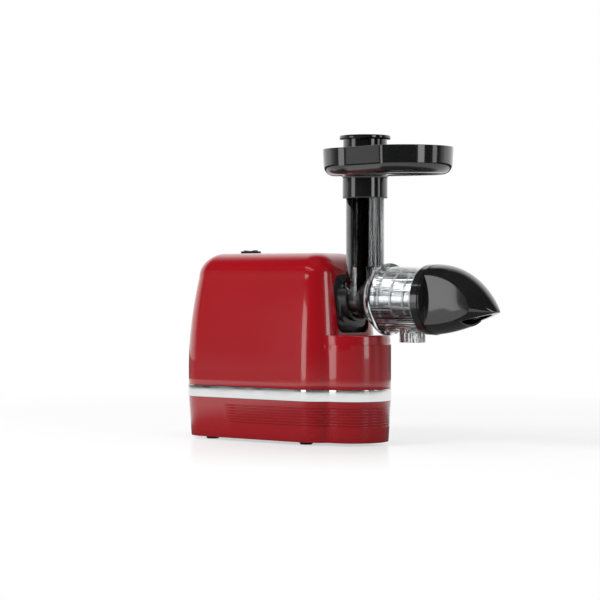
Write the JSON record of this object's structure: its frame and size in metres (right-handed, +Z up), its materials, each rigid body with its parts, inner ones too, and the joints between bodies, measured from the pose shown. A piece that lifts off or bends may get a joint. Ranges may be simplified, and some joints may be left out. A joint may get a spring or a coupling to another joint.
{
  "type": "cold press juicer",
  "caption": "Horizontal cold press juicer: tall rounded body, clear drum with chute and spout, beaked pulp cap, oblong hopper and pusher.",
  "frame": {"origin": "on the table surface under the middle of the whole juicer", "axes": "+Z up, +X along the auger towards the pulp cap, +Y to the left seen from behind the body"},
  "size_m": [0.4702, 0.131, 0.3904],
  "materials": {
    "red_gloss": "glossy",
    "chrome_trim": "polished",
    "black_gloss": "glossy",
    "black_satin": "satin",
    "black_matte": "matte",
    "clear_plastic": "glossy",
    "auger_plastic": "satin",
    "strainer_plastic": "satin",
    "silicone_seal": "matte",
    "soft_rubber": "matte",
    "zinc_steel": "satin",
    "bearing_steel": "polished",
    "core_iron": "satin",
    "cast_alloy": "matte",
    "winding_copper": "glossy",
    "terminal_brass": "satin",
    "brush_carbon": "matte",
    "grey_nylon": "satin",
    "white_nylon": "satin",
    "board_laminate": "satin"
  },
  "bodies": {
    "chassis": {"upper_housing": "red_gloss", "trim_band": "chrome_trim", "base_housing": "red_gloss", "bottom_cover": "black_matte", "rubber_feet": "soft_rubber", "base_screws": "zinc_steel", "front_collar": "black_satin", "collar_screws": "zinc_steel", "cord_inlet": "soft_rubber", "switch_bezel": "black_satin", "switch_terminals": "terminal_brass", "control_board": "board_laminate", "board_components": "black_matte", "board_standoffs": "black_matte", "motor_cradle": "zinc_steel", "cradle_bushes": "soft_rubber", "stator_core": "core_iron", "field_windings": "winding_copper", "front_motor_bracket": "cast_alloy", "rear_motor_bracket": "cast_alloy", "motor_tie_bolts": "zinc_steel", "carbon_brushes": "brush_carbon", "brush_holders": "terminal_brass", "front_motor_bearing": "bearing_steel", "rear_motor_bearing": "bearing_steel", "gear_pins": "bearing_steel", "gearbox_case": "grey_nylon", "gearbox_cover": "grey_nylon", "rear_output_bearing": "bearing_steel", "front_output_bearing": "bearing_steel", "shaft_seal": "soft_rubber"},
    "rocker": {"switch_rocker": "black_satin"},
    "rotor": {"motor_shaft": "bearing_steel", "armature_core": "core_iron", "armature_windings": "winding_copper", "commutator": "winding_copper", "cooling_fan": "white_nylon", "motor_pinion": "bearing_steel"},
    "first_stage": {"first_gear": "white_nylon"},
    "second_stage": {"second_gear": "white_nylon"},
    "auger_drive": {"output_gear": "white_nylon", "output_shaft": "bearing_steel", "auger": "auger_plastic", "auger_socket": "bearing_steel"},
    "juicing_drum": {"drum": "clear_plastic", "feed_chute": "clear_plastic", "juice_spout": "clear_plastic", "drum_seal": "silicone_seal", "strainer_frame": "strainer_plastic", "strainer_screen": "bearing_steel"},
    "pulp_cap": {"end_cap": "black_gloss", "cap_seal": "silicone_seal"},
    "hopper": {"hopper_tray": "black_gloss", "hopper_sleeve": "black_gloss"},
    "food_pusher": {"pusher_stem": "black_gloss", "pusher_head": "black_gloss"}
  },
  "joints": [
    {"name": "motor_spin", "type": "hinge", "parent": "chassis", "child": "rotor", "pos_m": [-0.10828, 0, 0.14657], "axis": [1, 0, 0], "continuous": true},
    {"name": "first_gear_spin", "type": "hinge", "parent": "chassis", "child": "first_stage", "pos_m": [-0.04828, -0.00357, 0.118], "axis": [1, 0, 0], "continuous": true},
    {"name": "second_gear_spin", "type": "hinge", "parent": "chassis", "child": "second_stage", "pos_m": [-0.03828, -0.0225, 0.14503], "axis": [1, 0, 0], "continuous": true},
    {"name": "auger_spin", "type": "hinge", "parent": "chassis", "child": "auger_drive", "pos_m": [-0.02328, 0, 0.184], "axis": [1, 0, 0], "continuous": true},
    {"name": "switch_rock", "type": "hinge", "parent": "chassis", "child": "rocker", "pos_m": [-0.16028, 0, 0.2434], "axis": [0, 1, 0], "range_deg": [-7, 7]},
    {"name": "drum_twist", "type": "hinge", "parent": "chassis", "child": "juicing_drum", "pos_m": [0.00672, 0, 0.184], "axis": [-1, 0, 0], "range_deg": [0, 40]},
    {"name": "cap_twist", "type": "hinge", "parent": "juicing_drum", "child": "pulp_cap", "pos_m": [0.13472, 0, 0.184], "axis": [-1, 0, 0], "range_deg": [0, 35]},
    {"name": "hopper_lift", "type": "slide", "parent": "juicing_drum", "child": "hopper", "axis": [0, 0, 1], "range_m": [0, 0.05]},
    {"name": "pusher_lift", "type": "slide", "parent": "hopper", "child": "food_pusher", "axis": [0, 0, 1], "range_m": [0, 0.15]}
  ],
  "couplings": [
    {"joint": "first_gear_spin", "follows": "motor_spin", "ratio": -0.2},
    {"joint": "second_gear_spin", "follows": "motor_spin", "ratio": 0.044444},
    {"joint": "auger_spin", "follows": "motor_spin", "ratio": -0.0088889}
  ]
}
